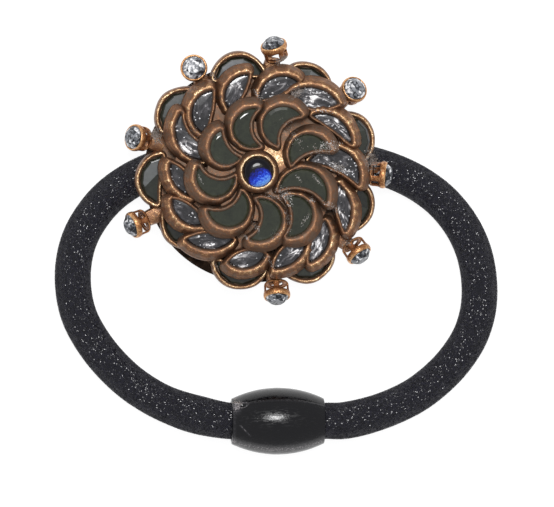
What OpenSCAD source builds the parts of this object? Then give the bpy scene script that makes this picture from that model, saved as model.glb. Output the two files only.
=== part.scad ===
// Hair tie: an elastic loop closed by a barrel bead, with a layered jewelled rosette.
// The tie lies flat on z = 0. X runs across the loop and Y from the bead to the rosette.

/* [Elastic] */
// Thickness of the woven elastic
band_d = 6; // [5.8:0.1:6.1]
// Flats around the elastic's outline
band_sides = 12; // [8:4:12]

/* [Bead] */
// Length of the bead over the joined ends
bead_length = 15.3; // [14:0.1:15.5]
// Largest diameter, at the middle of the barrel
bead_d = 11; // [10.6:0.1:11]
// Diameter of the barrel's two end faces
bead_end_d = 7.4; // [7.2:0.1:8.4]
// Diameter of the hole that the elastic fills
bead_bore_d = 6.4; // [6.3:0.1:6.6]

/* [Back plate] */
// Diameter of the plate under the rosette
plate_d = 36.8; // [34:0.2:38]
// Thickness of the plate
plate_t = 0.8; // [0.6:0.1:1]
// Length of the bracket along the elastic
bracket_length = 10; // [8:0.5:12]
// Thickness of the bracket's sheet
bracket_t = 0.8; // [0.6:0.1:0.9]
// Clear width of the bracket around the elastic
bracket_clear = 6.7; // [6.4:0.1:7]

/* [Settings] */
// Thickness of the sheet under each tier of settings
floor_t = 0.6; // [0.5:0.1:0.7]
// Wall left standing above the stones
lip = 0.4; // [0.2:0.1:0.6]
// Wall on the round side of an outer setting
outer_wall = 0.8; // [0.6:0.05:0.9]
// Wall on the round side of a middle setting
middle_wall = 1.35; // [1.2:0.05:1.5]
// Wall on the round side of an inner setting
inner_wall = 1.35; // [1.2:0.05:1.5]
// How far the round walls of the middle and inner settings are moved away from the axis
wall_drift = 0.45; // [0:0.05:0.5]
// Wall on the hollow side of every setting
hollow_wall = 0.7; // [0.5:0.05:0.75]
// Outer diameter of the centre setting
centre_d = 6.2; // [5.8:0.1:6.4]
// Height of the centre setting above the inner tier's sheet
centre_height = 2.7; // [2.4:0.1:3]
// Diameter of the rivet post through the tiers
post_d = 1.8; // [1.4:0.1:2]

/* [Stones] */
// Thickness of the crescent stones
stone_t = 1.2; // [1:0.1:1.3]
// Diameter of the domed centre stone
centre_stone_d = 4.9; // [4.6:0.1:5]
// Height of the centre stone
centre_stone_height = 1.9; // [1.6:0.1:2.1]
// Diameter of the round rim crystals
crystal_d = 3.6; // [3.4:0.1:3.7]

/* [Rim cups] */
// Outer diameter of a rim cup
cup_d = 4.2; // [4.1:0.1:4.4]
// Height of a rim cup
cup_height = 2.4; // [2.2:0.1:2.6]
// Width of the flat lug that carries a cup
lug_width = 1.6; // [1.2:0.1:2]

/* [Hidden] */
$fn = 96;
gap = 0.05;
rosette_at = [-3.9, 12.4];
bracket_at = [-3.4, 14.5];
bead_at = [0, -29, bead_d / 2];

// Centre line of the elastic, from one end in the bead round the loop to the other
route = [
    [-0.3, -29, 5.5], [-4, -29, 5.5], [-8, -28.9, 5.5], [-12, -28.2, 5.1], [-16, -27.1, 4.3],
    [-20, -25.4, 3.5], [-24, -22.8, 3], [-27.5, -19.5, 3], [-30.3, -15.9, 3], [-32.4, -12, 3],
    [-33.4, -8, 3], [-33.5, -3.6, 3], [-32.6, 0.6, 3], [-30.7, 4.3, 3], [-27.8, 7.8, 3.1],
    [-24, 10.6, 3.3], [-19.5, 12.7, 3.7], [-15, 14, 3.9], [-10.5, 14.5, 4], [-6, 14.5, 4],
    [-1, 14.5, 4], [4, 14.5, 4], [8.5, 14.4, 4], [12.8, 13.8, 3.8], [17, 12.8, 3.6],
    [21, 11.3, 3.3], [24.6, 9.3, 3.1], [27.8, 6.7, 3], [30.6, 3.2, 3], [32.6, -0.9, 3],
    [33.6, -5.5, 3], [33.6, -10.3, 3], [32.4, -14.8, 3], [30.1, -18.7, 3], [27, -22.1, 3],
    [23.2, -25, 3.2], [19, -27, 3.8], [14.8, -28.3, 4.7], [11, -29, 5.3], [8, -29, 5.5],
    [4, -29, 5.5], [0.3, -29, 5.5],
];

// A crescent row holds: the angle and radius of the middle of its chord about the rosette's
// axis, the lean of the chord away from the radius, the chord's length, how far the round
// side bulges from the chord, and how far the other side is hollowed, less than 0 where it
// bulges too.
outer_rows = [
    [18, 16.5, -95, 8, 3.2, 0.3], [58, 16.1, -92, 8, 3.2, 0.3], [100, 15.7, -95, 8, 3.2, 0.3],
    [142, 15.5, -98, 8, 3.2, 0.3], [185, 15.8, -101, 7.8, 3.2, 0.3], [217, 14.5, -95, 8, 3.2, 0.3],
    [260.5, 15.8, -90, 8, 3.2, 0.3], [301, 16.9, -92, 8, 3.2, 0.3], [339, 16.7, -95, 8, 3.2, 0.3],
];
middle_rows = [
    [359, 12.6, -24, 9.1, 4.1, 0.8], [29, 14.1, -65, 8, 2.2, 0.2], [52, 15, -61, 8.3, 2, -1.4],
    [75, 13.7, -50, 7, 2.3, -0.6], [103, 13.2, -41, 6.7, 2.2, -0.6], [130, 12.5, -51, 7.4, 2.7, -0.4],
    [141, 10.7, 4, 9.8, 5.2, 2.6], [187, 12.4, -63, 6.4, 1.4, -1.1], [211, 13.1, -70, 6.6, 1.8, -0.9],
    [236, 13.6, -56, 7.6, 1.7, -1], [264, 14.5, -72, 6.1, 1.6, -1.2], [292, 15, -73, 6.5, 1.3, -1.5],
    [311, 15.3, -61, 7.2, 1.9, -0.7], [337, 15.1, -57, 7.9, 1.7, -0.5],
];
inner_rows = [
    [16, 8.9, 4, 6.8, 3.8, 1], [53, 8.4, -2, 6.4, 4.5, 1.5], [89, 7.1, 4, 6.4, 4.2, 1.6],
    [136, 6.2, -12, 5.6, 3.6, 0.8], [181, 6.6, -17, 6.4, 4.2, 1.5], [223, 7.1, -15, 6.6, 4.6, 1.5],
    [266, 7.7, -7, 6.9, 4.7, 1.7], [303, 8.7, -31, 6.7, 4.5, 1.3], [332, 8.3, 12, 8.2, 4.5, 1.5],
];

// A rim row holds: the angle and radius of the cup's centre, its height, how far its face
// leans outward from straight up, and how far that lean is turned off the radius.
rim_rows = [
    [358, 20.5, 9.2, 78, -3], [39, 20.6, 8.45, 28, 12], [81, 20, 9.4, 64, 26], [121, 19.4, 9.4, 8, 0],
    [164.5, 19.9, 9.2, 50, 6], [204, 21.2, 9.2, 70, -4], [280, 20.2, 9.2, 64, -8],
    [321.5, 21.3, 9.2, 66, -16],
];

plate_z = band_d + bracket_t + 0.4;
outer_z = plate_z + plate_t + gap;
tier_height = floor_t + gap + stone_t + lip;
middle_z = outer_z + tier_height + gap;
inner_z = middle_z + tier_height + gap;
centre_z = inner_z + floor_t + gap;
outer_disc_r = 16.8;
middle_disc_r = 13.2;
inner_disc_r = 8;
lug_root = outer_disc_r - 1;
lug_short = 0.4;
foot = 0.3;
crystal_seat = 0.9;

function node_names(stem, rows) = [for (i = [1:len(rows)]) str(stem, i)];

function unit(v) = v / norm(v);
function heading(path, i) = unit(path[min(i + 1, len(path) - 1)] - path[max(i - 1, 0)]);

// One ring of the elastic's outline, square to the route
function ring(path, i, r, sides) =
    let (along = heading(path, i))
    let (side = unit(cross(along, [0, 0, 1])))
    let (up = cross(side, along))
    [for (k = [0:sides - 1]) path[i] + r * (cos(360 * k / sides) * side + sin(360 * k / sides) * up)];

module tube(path, r, sides) {
    last = len(path) - 1;
    points = [for (i = [0:last]) each ring(path, i, r, sides)];
    walls = [
        for (i = [0:last - 1])
            for (k = [0:sides - 1])
                let (next = (k + 1) % sides)
                each [
                    [i * sides + k, i * sides + next, (i + 1) * sides + next],
                    [i * sides + k, (i + 1) * sides + next, (i + 1) * sides + k],
                ],
    ];
    start = [for (k = [sides - 1:-1:0]) k];
    end = [for (k = [0:sides - 1]) last * sides + k];
    polyhedron(points, concat(walls, [start, end]), convexity = 6);
}

module elastic_band() {
    color("#1b1b1d") tube(route, band_d / 2, band_sides);
}

// The barrel's side is one arc, through the two end rims and the widest point
module barrel_bead() {
    rise = (bead_d - bead_end_d) / 2;
    arc_r = (pow(bead_length / 2, 2) + pow(rise, 2)) / (2 * rise);
    wall = (bead_d - bead_bore_d) / 2;
    color("#0c0c0e")
        translate(bead_at)
            rotate([0, 90, 0])
                rotate_extrude()
                    intersection() {
                        translate([bead_d / 2 - arc_r, 0]) circle(arc_r, $fn = 256);
                        translate([bead_bore_d / 2, -bead_length / 2]) square([wall, bead_length]);
                    }
}

module post_hole(z, height) {
    translate([rosette_at.x, rosette_at.y, z - 1]) cylinder(d = post_d + 2 * gap, h = height + 2);
}

module back_plate() {
    clear_height = plate_z - bracket_t;
    bracket_width = bracket_clear + 2 * bracket_t;
    color("#4a382e")
        difference() {
            union() {
                translate([rosette_at.x, rosette_at.y, plate_z]) cylinder(d = plate_d, h = plate_t);
                translate([bracket_at.x - bracket_length / 2, bracket_at.y - bracket_width / 2, 0])
                    cube([bracket_length, bracket_width, plate_z + plate_t / 2]);
            }
            translate([bracket_at.x - bracket_length, bracket_at.y - bracket_clear / 2, bracket_t])
                cube([2 * bracket_length, bracket_clear, clear_height]);
            post_hole(plate_z, plate_t);
        }
}

// Radius of the arc that spans a chord and rises by the given amount
function arc_radius(chord, rise) = (chord * chord / 4 + rise * rise) / (2 * rise);

// The way from the rosette's axis, in a crescent's own directions
function outward(row) = [cos(row[2]), -sin(row[2])];

// The plan of a crescent, grown by walls on its round side and on its other side, with the
// round side's wall moved outward. The chord lies along X and the round side is toward +Y.
module crescent(row, round_wall, other_wall, drift) {
    chord = row[3];
    bulge = row[4];
    hollow = row[5];
    round_r = arc_radius(chord, bulge);
    other_r = arc_radius(chord, abs(hollow));
    if (hollow < 0)
        intersection() {
            translate([0, bulge - round_r] + drift * outward(row)) circle(round_r + round_wall);
            translate([0, hollow + other_r]) circle(other_r + other_wall);
        }
    else
        difference() {
            translate([0, bulge - round_r] + drift * outward(row)) circle(round_r + round_wall);
            translate([0, hollow - other_r]) circle(other_r - other_wall);
            if (round_wall > foot)
                translate([-2 * chord, -2 * chord - foot]) square([4 * chord, 2 * chord]);
        }
}

// Rounded ends that close a crescent's walls around the tips of its stone
module crescent_ends(row, round_wall, drift) {
    if (row[5] > 0)
        for (side = [-1, 1])
            let (wall = round_wall + side * drift * outward(row).x)
            translate([side * (row[3] + wall - hollow_wall) / 2, -foot])
                circle((wall + hollow_wall) / 2);
}

module at_row(row) {
    translate(rosette_at)
        rotate(row[0])
            translate([row[1], 0])
                rotate(row[2])
                    children();
}

module stone(row, z) {
    translate([0, 0, z + floor_t + gap])
        linear_extrude(stone_t)
            at_row(row) crescent(row, -gap, -gap, 0);
}

// One tier: a round sheet, a walled body for each crescent, and a pocket in each body
module tier(rows, z, round_wall, drift, disc_r) {
    difference() {
        union() {
            translate([rosette_at.x, rosette_at.y, z]) cylinder(r = disc_r, h = floor_t);
            translate([0, 0, z])
                linear_extrude(tier_height)
                    for (row = rows)
                        at_row(row) {
                            crescent(row, round_wall, hollow_wall, drift);
                            crescent_ends(row, round_wall, drift);
                        }
        }
        translate([0, 0, z + floor_t])
            linear_extrude(tier_height)
                for (row = rows)
                    at_row(row) crescent(row, 0, 0, 0);
        post_hole(z, floor_t);
    }
}

// Puts its children at a rim cup's centre, with +Z along the way the cup faces
module at_rim(row) {
    translate([rosette_at.x, rosette_at.y, row[2]])
        rotate([0, 0, row[0]])
            translate([row[1], 0, 0])
                rotate([0, row[3], row[4]])
                    children();
}

// A flat lug from the outer tier's sheet to a cup's back
module rim_lug(row) {
    translate([rosette_at.x, rosette_at.y, outer_z])
        rotate(row[0])
            translate([lug_root, -lug_width / 2, 0])
                cube([row[1] - lug_root - lug_short, lug_width, floor_t]);
}

module outer_setting() {
    color("#9a6a44")
        difference() {
            union() {
                tier(outer_rows, outer_z, outer_wall, 0, outer_disc_r);
                for (row = rim_rows)
                    rim_lug(row);
                for (row = rim_rows)
                    at_rim(row) translate([0, 0, -cup_height / 2]) cylinder(d = cup_d, h = cup_height);
            }
            for (row = rim_rows)
                at_rim(row)
                    translate([0, 0, cup_height / 2 - crystal_seat])
                        cylinder(d = crystal_d + 2 * gap, h = cup_height);
        }
}

module middle_setting() {
    color("#8a5c3c") tier(middle_rows, middle_z, middle_wall, wall_drift, middle_disc_r);
}

module inner_setting() {
    color("#a87550")
        difference() {
            tier(inner_rows, inner_z, inner_wall, wall_drift, inner_disc_r);
            translate([rosette_at.x, rosette_at.y, inner_z + floor_t])
                cylinder(d = centre_d + 2 * gap, h = tier_height);
        }
}

module centre_setting() {
    seat_z = centre_z + centre_height - centre_stone_height / 2;
    color("#b98258")
        translate([rosette_at.x, rosette_at.y, 0])
            difference() {
                union() {
                    translate([0, 0, centre_z]) cylinder(d = centre_d, h = centre_height);
                    translate([0, 0, plate_z]) cylinder(d = post_d, h = centre_z - plate_z + 0.5);
                }
                translate([0, 0, seat_z - gap])
                    cylinder(d = centre_stone_d + 2 * gap, h = centre_height);
            }
}

// A low straight girdle under a dome
module centre_stone() {
    girdle = centre_stone_height * 0.4;
    dome = centre_stone_height - girdle;
    dome_r = arc_radius(centre_stone_d, dome);
    color("#2a3fb0")
        translate([rosette_at.x, rosette_at.y, centre_z + centre_height - centre_stone_height / 2])
            intersection() {
                cylinder(d = centre_stone_d, h = centre_stone_height);
                translate([0, 0, centre_stone_height - dome_r]) sphere(dome_r, $fn = 192);
            }
}

module outer_stone(row) {
    color("#2f3a30") stone(row, outer_z);
}

module middle_stone(row) {
    color("#9fa4ac") stone(row, middle_z);
}

module inner_stone(row) {
    color("#3c4538") stone(row, inner_z);
}

// A girdle and a crown that narrows to the flat table
module rim_crystal(row) {
    girdle = 0.7;
    crown = 0.6;
    color("#dfe6ee")
        at_rim(row)
            translate([0, 0, cup_height / 2 - crystal_seat + gap]) {
                cylinder(d = crystal_d, h = girdle);
                translate([0, 0, girdle]) cylinder(d1 = crystal_d, d2 = crystal_d * 0.6, h = crown);
            }
}

elastic_band();
barrel_bead();
back_plate();
outer_setting();
middle_setting();
inner_setting();
centre_setting();
centre_stone();
for (i = [0:len(outer_rows) - 1])
    outer_stone(outer_rows[i]);
for (i = [0:len(middle_rows) - 1])
    middle_stone(middle_rows[i]);
for (i = [0:len(inner_rows) - 1])
    inner_stone(inner_rows[i]);
for (i = [0:len(rim_rows) - 1])
    rim_crystal(rim_rows[i]);
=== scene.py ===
# A hair tie: a loop of black knitted elastic whose ends meet in a barrel bead, with a rosette
# of glass crescents in three tiers of antiqued copper, held on the loop by a bracket.
from math import atan2, copysign, cos, pi, radians, sin, sqrt

import bmesh
import bpy
import numpy as np
from mathutils import Matrix, Vector
from mathutils.bvhtree import BVHTree


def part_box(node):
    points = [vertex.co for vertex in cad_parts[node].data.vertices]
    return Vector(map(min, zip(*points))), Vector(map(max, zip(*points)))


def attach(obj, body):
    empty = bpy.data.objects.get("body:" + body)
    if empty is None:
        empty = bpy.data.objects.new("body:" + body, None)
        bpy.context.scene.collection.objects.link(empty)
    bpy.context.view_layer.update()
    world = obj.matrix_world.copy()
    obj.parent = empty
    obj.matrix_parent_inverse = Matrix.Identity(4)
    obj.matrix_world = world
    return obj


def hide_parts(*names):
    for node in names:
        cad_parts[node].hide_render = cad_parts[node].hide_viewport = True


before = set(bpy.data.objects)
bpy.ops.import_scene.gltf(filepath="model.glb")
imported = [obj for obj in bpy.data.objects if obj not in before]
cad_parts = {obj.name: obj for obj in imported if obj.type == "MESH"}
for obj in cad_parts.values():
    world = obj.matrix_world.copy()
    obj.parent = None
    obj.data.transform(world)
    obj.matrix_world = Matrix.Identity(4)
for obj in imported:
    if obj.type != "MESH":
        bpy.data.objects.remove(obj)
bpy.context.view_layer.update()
mm = 0.001

# Camera
# The photograph looks down from about 600 mm away, leaning a few degrees to the upper left.
# One pixel of it is 0.165 mm at the height of the elastic's middle, which it is aimed at.
view_distance, lean_left, lean_up, aim_height = 600, radians(4), radians(3), 3.0
pixel_mm, frame_width, frame_height, middle_pixel = 0.165, 554, 507, (276.5, 244.5)
aim = Vector((
    (frame_width / 2 - middle_pixel[0]) * pixel_mm,
    (middle_pixel[1] - frame_height / 2) * pixel_mm,
    aim_height,
)) * mm
toward = Vector((-sin(lean_left), sin(lean_up), 1)).normalized()
across = Vector((0, 1, 0)).cross(toward).normalized()


def shown(name, data):
    """Puts data in the scene as an object of this name."""
    made = bpy.data.objects.new(name, data)
    bpy.context.scene.collection.objects.link(made)
    return made


camera_data = bpy.data.cameras.new("photo_view")
camera_data.sensor_width = 36
camera_data.lens = camera_data.sensor_width * view_distance / (frame_width * pixel_mm)
camera_data.clip_start, camera_data.clip_end = 0.05, 10
camera = shown("photo_view", camera_data)
camera.matrix_world = Matrix.Translation(aim + toward * view_distance * mm) @ Matrix(
    (across, toward.cross(across), toward)
).transposed().to_4x4()
bpy.context.scene.camera = camera

# Elastic
# A round cord of rubber strands in a knitted black nylon cover, 6 mm thick and springy. It
# runs through the bracket under the rosette, and its cut ends butt together in the bead.
cord_r, core_r, core_cuts = 3.0 * mm, 2.88 * mm, 24
# A stitch's length, width and height: real ones are finer, but would not show in the render
stitch = (0.45 * mm, 0.25 * mm, 0.04 * mm)
stitch_slant, stitch_loose = radians(22), (0.32, 0.32, 0.5)
stitch_rows, stitch_columns = 600, 80
route = [
    Vector(point) * mm
    for point in (
        (-0.3, -29, 5.5), (-4, -29, 5.5), (-8, -28.9, 5.5), (-12, -28.2, 5.1), (-16, -27.1, 4.3),
        (-20, -25.4, 3.5), (-24, -22.8, 3), (-27.5, -19.5, 3), (-30.3, -15.9, 3), (-32.4, -12, 3),
        (-33.4, -8, 3), (-33.5, -3.6, 3), (-32.6, 0.6, 3), (-30.7, 4.3, 3), (-27.8, 7.8, 3.1),
        (-24, 10.6, 3.3), (-19.5, 12.7, 3.7), (-15, 14, 3.9), (-10.5, 14.5, 4), (-6, 14.5, 4),
        (-1, 14.5, 4), (4, 14.5, 4), (8.5, 14.4, 4), (12.8, 13.8, 3.8), (17, 12.8, 3.6),
        (21, 11.3, 3.3), (24.6, 9.3, 3.1), (27.8, 6.7, 3), (30.6, 3.2, 3), (32.6, -0.9, 3),
        (33.6, -5.5, 3), (33.6, -10.3, 3), (32.4, -14.8, 3), (30.1, -18.7, 3), (27, -22.1, 3),
        (23.2, -25, 3.2), (19, -27, 3.8), (14.8, -28.3, 4.7), (11, -29, 5.3), (8, -29, 5.5),
        (4, -29, 5.5), (0.3, -29, 5.5),
    )
]


def paint(code):
    """A colour given as sRGB hex, in linear light."""
    parts = [int(code[i : i + 2], 16) / 255 for i in (1, 3, 5)]
    return [c / 12.92 if c <= 0.04045 else ((c + 0.055) / 1.055) ** 2.4 for c in parts] + [1.0]


def feed(node, inputs):
    """Fills a node's inputs. Each takes a value, a socket, or a node's first output."""
    for key, value in inputs.items():
        socket = node.inputs[key] if isinstance(key, int) else next(
            s for s in node.inputs if s.name == key and s.enabled
        )
        if isinstance(value, bpy.types.Node):
            value = next(s for s in value.outputs if s.enabled)
        if isinstance(value, bpy.types.NodeSocket):
            node.id_data.links.new(value, socket)
        else:
            socket.default_value = value


def add(tree, kind, inputs=None, stops=None, **settings):
    """Adds a node, named without its family, with its settings, links and colour stops."""
    families = ("ShaderNode", "GeometryNode", "FunctionNode", "")
    made = tree.nodes.new(next(f + kind for f in families if hasattr(bpy.types, f + kind)))
    for key, value in settings.items():
        setattr(made, key, value)
    feed(made, inputs or {})
    for i, (place, value) in enumerate(stops or ()):
        ramp = made.color_ramp.elements
        stop = ramp[i] if i < len(ramp) else ramp.new(place)
        stop.position = place
        stop.color = paint(value) if isinstance(value, str) else (value, value, value, 1)
    return made


def new_finish(name, surface):
    """A material whose plain numbers and colours are set on its shader's own sockets."""
    made = bpy.data.materials.new(name)
    made.use_nodes = True
    shader = made.node_tree.nodes["Principled BSDF"]
    feed(shader, surface)
    return made, made.node_tree, shader


def new_tree(name, inputs):
    """A Geometry Nodes tree with a named input for each size, and its group input node."""
    tree = bpy.data.node_groups.new(name, "GeometryNodeTree")
    for way_round in ("OUTPUT", "INPUT"):
        tree.interface.new_socket("Geometry", in_out=way_round, socket_type="NodeSocketGeometry")
    for label, kind in inputs.items():
        tree.interface.new_socket(label, in_out="INPUT", socket_type="NodeSocket" + kind)
    return tree, tree.nodes.new("NodeGroupInput").outputs


def end_tree(tree, instances, finish):
    """Makes the instances real, gives them their material and hands them out."""
    real = add(tree, "RealizeInstances", {"Geometry": instances})
    dressed = add(tree, "SetMaterial", {"Geometry": real, "Material": finish})
    add(tree, "NodeGroupOutput", {"Geometry": dressed})


def applied(piece):
    """Takes a piece out of the scene and returns its mesh with its modifiers applied."""
    seen = piece.evaluated_get(bpy.context.evaluated_depsgraph_get())
    mesh = bpy.data.meshes.new_from_object(seen)
    bpy.data.objects.remove(piece)
    return mesh


def grown(name, source, tree, values):
    """Runs a tree on a mesh at the origin and returns the result as a plain mesh."""
    seed = shown(name + "_seed", source)
    modifier = seed.modifiers.new(name, "NODES")
    modifier.node_group = tree
    for item in tree.interface.items_tree:
        if item.in_out == "INPUT" and item.name in values:
            modifier[item.identifier] = values[item.name]
    mesh = applied(seed)
    mesh.name = name
    return mesh


def placed(mesh, nodes=()):
    """Puts a finished mesh in the scene as a piece of its name, which rides with the tie."""
    piece = shown(mesh.name, mesh)
    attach(piece, "root")
    if nodes:
        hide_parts(*nodes)
    return piece


def mark(mesh, label, numbers):
    """Stores a number or a vector for each point of a mesh."""
    numbers = np.array(numbers, float)
    kind, field = ("FLOAT_VECTOR", "vector") if numbers.ndim > 1 else ("FLOAT", "value")
    mesh.attributes.new(label, kind, "POINT").data.foreach_set(field, numbers.ravel())


def marked_points(name, points, marks, edges=()):
    """A mesh of bare points with their numbers, for a tree to set its instances on."""
    mesh = bpy.data.meshes.new(name)
    mesh.from_pydata(points, edges, [])
    for label, numbers in marks.items():
        mark(mesh, label, numbers)
    return mesh


def skin(shape, grid, turns=(False, True), values=None, caps=False):
    """Joins a grid of points into faces. turns says which of its two ways closes on itself,
    caps whether a face closes its first row and another its last."""
    count, width = grid.shape[:2]
    layers = shape.verts.layers.float
    for label in values or ():
        layers.get(label) or layers.new(label)
    corners = [[shape.verts.new(point) for point in row] for row in grid]
    for label, numbers in (values or {}).items():
        layer = layers[label]
        for row, amounts in zip(corners, numbers):
            for corner, amount in zip(row, amounts):
                corner[layer] = amount
    for i in range(count - (not turns[0])):
        for k in range(width - (not turns[1])):
            row, next_row, next_k = corners[i], corners[(i + 1) % count], (k + 1) % width
            shape.faces.new((row[k], row[next_k], next_row[next_k], next_row[k]))
    for row in (corners[0], corners[-1]) if caps else ():
        shape.faces.new(row)


def mesh_of(name, shape, finish, crease=40):
    """Closes a bmesh's seams, points its faces outward and gives it a material."""
    bmesh.ops.remove_doubles(shape, verts=shape.verts, dist=1e-7)
    bmesh.ops.dissolve_degenerate(shape, edges=shape.edges, dist=1e-8)
    bmesh.ops.recalc_face_normals(shape, faces=shape.faces)
    mesh = bpy.data.meshes.new(name)
    shape.to_mesh(mesh)
    shape.free()
    mesh.shade_smooth()
    mesh.set_sharp_from_angle(angle=radians(crease))
    mesh.materials.append(finish)
    return mesh


def smooth_way(points, steps):
    """Closely spaced points of one smooth curve through the given ones."""
    p = np.array([2 * points[0] - points[1], *points, 2 * points[-1] - points[-2]])
    t = np.linspace(0, 1, steps, endpoint=False)[:, None]
    spans = [
        b + 0.5 * t * (c - a + t * (2 * a - 5 * b + 4 * c - d + t * (3 * (b - c) + d - a)))
        for a, b, c, d in zip(p, p[1:], p[2:], p[3:])
    ]
    return np.vstack([*spans, p[-2:-1]])


def unit(vectors):
    """Vectors brought to a length of 1."""
    return vectors / np.linalg.norm(vectors, axis=-1, keepdims=True)


def whole_turn(count):
    """Angles spaced evenly round a circle."""
    return np.linspace(0, 2 * pi, count, endpoint=False)


def bell(x):
    """A smooth bump, 1 at 0 and nearly gone at 2."""
    return np.exp(-(x**2))


way = smooth_way(route, 10)
way_length = float(np.linalg.norm(np.diff(way, axis=0), axis=1).sum())
# The cover swells where it is squeezed into the bead's mouths, more on the left
swell_reach = 4 * mm
swells = ((Vector((-13.2, -28, 5)), 0.07), (Vector((12.4, -28.9, 5.2)), 0.03))
girth = 1 + sum(
    amount * bell(np.linalg.norm(way - np.array(mouth * mm), axis=1) / swell_reach)
    for mouth, amount in swells
)

# Black nylon filament, textured so that it grips: most of it is matt and blue-black, and here
# and there a filament lies flat and flashes where it faces the light. Here and below, a
# pattern's scale is its number of grains in a millimetre.
nylon, tree, shader = new_finish(
    "black_nylon_filament", {"IOR": 1.53, "Specular IOR Level": 0.47, "Sheen Weight": 0.01}
)
place = add(tree, "TexCoord").outputs["Object"]
glint = add(tree, "Attribute", attribute_name="glint").outputs["Fac"]
fluff = add(tree, "TexNoise", {"Vector": place, "Scale": 2.6 / mm, "Detail": 3, "Roughness": 0.7})
tint = add(tree, "ValToRGB", {"Fac": fluff}, stops=((0.35, "#05050c"), (0.68, "#1c1b2c")))
gloss = add(
    tree, "ValToRGB", {"Fac": glint}, stops=((0.0, 0.9), (0.08, 0.44), (0.24, 0.24), (0.95, 0.1))
)
feed(shader, {"Base Color": tint, "Roughness": gloss})

# Bundled strands of natural rubber, dull and nearly black, which shade the gaps of the knit
rubber, tree, shader = new_finish("black_rubber_core", {"Roughness": 0.8, "IOR": 1.5})
place = add(tree, "TexCoord").outputs["Object"]
strands = add(tree, "TexNoise", {"Vector": place, "Scale": 2.5 / mm, "Detail": 3})
tint = add(tree, "ValToRGB", {"Fac": strands}, stops=((0.3, "#08080a"), (0.7, "#16161a")))
feed(shader, {"Base Color": tint})

shape = bmesh.new()
ahead = unit(np.gradient(way, axis=0))
aside = unit(np.cross(ahead, (0, 0, 1)))
above = np.cross(aside, ahead)
turn = whole_turn(core_cuts)[None, :, None]
rings = way[:, None] + core_r * girth[:, None, None] * (
    np.cos(turn) * aside[:, None] + np.sin(turn) * above[:, None]
)
skin(shape, rings, caps=True)
elastic = placed(mesh_of("elastic_core", shape, rubber), ["elastic_band"])

knit, given = new_tree(
    "knitted_cover",
    {
        "Rows": "Int", "Columns": "Int", "Radius": "Float", "Stitch": "Vector",
        "Slant": "Float", "Stagger": "Float", "Seed": "Int",
    },
)
line = add(knit, "MeshToCurve", {"Mesh": given["Geometry"]})
line = add(knit, "ResampleCurve", {"Curve": line, "Count": given["Rows"]})
line = add(
    knit, "StoreNamedAttribute",
    {"Geometry": line, "Name": "along", "Value": add(knit, "InputTangent")},
    data_type="FLOAT_VECTOR",
)
ring = add(
    knit, "CurvePrimitiveCircle", {"Resolution": given["Columns"], "Radius": given["Radius"]}
)
thickness = add(knit, "InputNamedAttribute", {"Name": "girth"})
tube = add(knit, "CurveToMesh", {"Curve": line, "Profile Curve": ring, "Scale": thickness})
along = add(knit, "InputNamedAttribute", {"Name": "along"}, data_type="FLOAT_VECTOR")
number = add(knit, "InputIndex")
column = add(knit, "IntegerMath", {0: number, 1: given["Columns"]}, operation="MODULO")
odd = add(knit, "IntegerMath", {0: column, 1: 2}, operation="MODULO")
shift = add(knit, "Math", {0: odd, 1: given["Stagger"]}, operation="MULTIPLY")
offset = add(knit, "VectorMath", {"Vector": along, "Scale": shift}, operation="SCALE")
tube = add(knit, "SetPosition", {"Geometry": tube, "Offset": offset})
facing = add(
    knit, "AxesToRotation",
    {"Primary Axis": add(knit, "InputNormal"), "Secondary Axis": along},
    primary_axis="Z", secondary_axis="X",
)
side = add(knit, "Math", {0: odd, 1: 2, 2: -1}, operation="MULTIPLY_ADD")
lean = add(knit, "Math", {0: side, 1: given["Slant"]}, operation="MULTIPLY")
loose = add(
    knit, "RandomValue",
    {"Min": [-angle for angle in stitch_loose], "Max": stitch_loose, "Seed": given["Seed"]},
    data_type="FLOAT_VECTOR",
)
leaning = add(knit, "CombineXYZ", {"Z": lean})
leaning = add(knit, "VectorMath", {0: leaning, 1: loose}, operation="ADD")
leaning = add(knit, "EulerToRotation", {"Euler": leaning})
facing = add(
    knit, "RotateRotation", {"Rotation": facing, "Rotate By": leaning}, rotation_space="LOCAL"
)
# The upper side of the cord is rubbed, so more of its filaments flash
upper = add(knit, "SeparateXYZ", {"Vector": add(knit, "InputNormal")})
upper = add(knit, "MapRange", {"Value": upper.outputs["Z"], 1: 0.6, 2: 0.84, 3: 0.1, 4: 1.2})
flash = add(knit, "RandomValue", {"Seed": given["Seed"]})
flash = add(knit, "Math", {0: flash, 1: upper}, operation="MULTIPLY")
tube = add(knit, "StoreNamedAttribute", {"Geometry": tube, "Name": "glint", "Value": flash})
bump = add(
    knit, "MeshCone", {"Vertices": 4, "Radius Top": 0.0, "Radius Bottom": 0.5, "Depth": 1.0},
    fill_type="NONE",
)
stitches = add(
    knit, "InstanceOnPoints",
    {"Points": tube, "Instance": bump, "Rotation": facing, "Scale": given["Stitch"]},
)
end_tree(knit, stitches, nylon)

way_steps = [(i, i + 1) for i in range(len(way) - 1)]
cover = grown(
    "elastic_knit", marked_points("elastic_way", way.tolist(), {"girth": girth}, way_steps), knit,
    {
        "Rows": stitch_rows, "Columns": stitch_columns, "Radius": cord_r - 1.6 * stitch[2],
        "Stitch": stitch, "Slant": stitch_slant, "Stagger": way_length / stitch_rows / 2, "Seed": 4,
    },
)
knitted = placed(cover)

# Barrel bead
# A moulded bead of black glossy plastic with a bore for the elastic, which is glued into it.
# Its parting line runs along it, it is dented and torn near the left mouth, and has a painted
# reflection below.
bead_at = np.array((0, -29, 5.5)) * mm
bead_half, bead_r, mouth_r, bore_r = 7.65 * mm, 5.5 * mm, 3.7 * mm, 3.2 * mm
lip_w, bead_rings, bead_cuts = 0.25 * mm, 91, 240

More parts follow.
